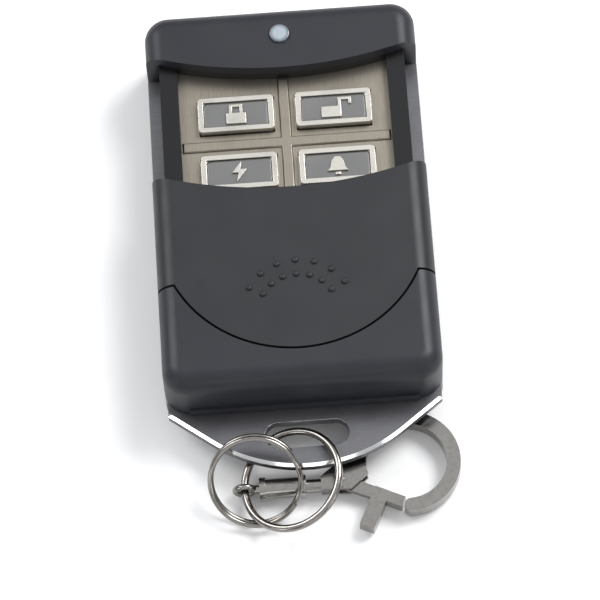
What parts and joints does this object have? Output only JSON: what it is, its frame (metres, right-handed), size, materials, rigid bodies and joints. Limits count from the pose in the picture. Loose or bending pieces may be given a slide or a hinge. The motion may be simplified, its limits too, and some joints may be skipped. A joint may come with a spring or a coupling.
{
  "type": "alarm key-ring remote control",
  "caption": "Black key-ring alarm remote with an open sliding cover, silver keys on a champagne plate, a slotted metal tab, two rings and a swivel clasp.",
  "frame": {"origin": "centre of the case's flat back face", "axes": "+X right seen from the key side, +Y to the lamp end, +Z out of the key face"},
  "size_m": [0.0375, 0.072, 0.0133],
  "materials": {
    "shell": "satin black moulding",
    "frame_metal": "satin die-cast metal, polished bevels",
    "plate_metal": "satin champagne",
    "key_metal": "satin silver",
    "board": "green lacquer",
    "switch_plastic": "plain",
    "switch_metal": "plain",
    "lamp": "clear",
    "lens": "milky light pipe",
    "chip": "plain",
    "can_metal": "plain",
    "contact_metal": "nickel plated",
    "battery_jacket": "gloss",
    "copper_wire": "enamelled",
    "screw_metal": "blackened",
    "ring_steel": "polished",
    "clasp_metal": "bright plated die casting"
  },
  "bodies": {
    "case": {"back_cover": "shell", "metal_frame": "frame_metal", "front_case": "shell", "key_plate": "plate_metal", "circuit_board": "board", "tact_switches": "switch_metal", "status_lamp": "lamp", "lamp_lens": "lens", "encoder_chip": "chip", "resonator_can": "can_metal", "battery_plus_contact": "contact_metal", "battery_minus_contact": "contact_metal", "battery": "battery_jacket", "battery_spring": "contact_metal", "antenna_coil": "copper_wire", "case_screws": "screw_metal", "board_screws": "screw_metal", "detent_spring": "contact_metal"},
    "cover": {"slide_cover": "shell"},
    "lock_key": {"key_lock": "key_metal", "switch_plunger_1": "switch_plastic"},
    "unlock_key": {"key_unlock": "key_metal", "switch_plunger_2": "switch_plastic"},
    "start_key": {"key_start": "key_metal", "switch_plunger_3": "switch_plastic"},
    "alarm_key": {"key_alarm": "key_metal", "switch_plunger_4": "switch_plastic"},
    "link": {"link_ring": "ring_steel"},
    "keyring": {"split_ring": "ring_steel"},
    "eye": {"swivel_eye": "clasp_metal"},
    "clasp": {"clasp_hook": "clasp_metal", "gate_pin": "ring_steel"},
    "gate": {"clasp_gate": "clasp_metal"}
  },
  "joints": [
    {"name": "cover_slide", "type": "slide", "parent": "case", "child": "cover", "axis": [0, 1, 0], "range_m": [0, 0.0175]},
    {"name": "lock_key_press", "type": "slide", "parent": "case", "child": "lock_key", "axis": [0, 0, -1], "range_m": [0, 0.0003], "stiffness_N_per_m": 5000},
    {"name": "unlock_key_press", "type": "slide", "parent": "case", "child": "unlock_key", "axis": [0, 0, -1], "range_m": [0, 0.0003], "stiffness_N_per_m": 5000},
    {"name": "start_key_press", "type": "slide", "parent": "case", "child": "start_key", "axis": [0, 0, -1], "range_m": [0, 0.0003], "stiffness_N_per_m": 5000},
    {"name": "alarm_key_press", "type": "slide", "parent": "case", "child": "alarm_key", "axis": [0, 0, -1], "range_m": [0, 0.0003], "stiffness_N_per_m": 5000},
    {"name": "link_swing", "type": "hinge", "parent": "case", "child": "link", "pos_m": [0, -0.03465, 0.00425], "axis": [-1, 0, 0], "range_deg": [0, 40]},
    {"name": "keyring_swing", "type": "hinge", "parent": "link", "child": "keyring", "pos_m": [-0.00679, -0.04208, 0.0018], "axis": [0.6385, -0.7251, 0.258], "range_deg": [0, 30]},
    {"name": "eye_turn", "type": "hinge", "parent": "link", "child": "eye", "pos_m": [-0.00852, -0.0374, 0.0016], "axis": [0, 0, 1], "range_deg": [-3, 1]},
    {"name": "clasp_swivel", "type": "hinge", "parent": "eye", "child": "clasp", "pos_m": [-0.00852, -0.0374, 0.0016], "axis": [1, 0, 0], "range_deg": [-90, 0]},
    {"name": "gate_open", "type": "hinge", "parent": "clasp", "child": "gate", "pos_m": [0.00398, -0.0371, 0.0016], "axis": [0, 0, 1], "range_deg": [0, 20], "stiffness_Nm_per_rad": 0.002, "springref_deg": -20.05}
  ]
}
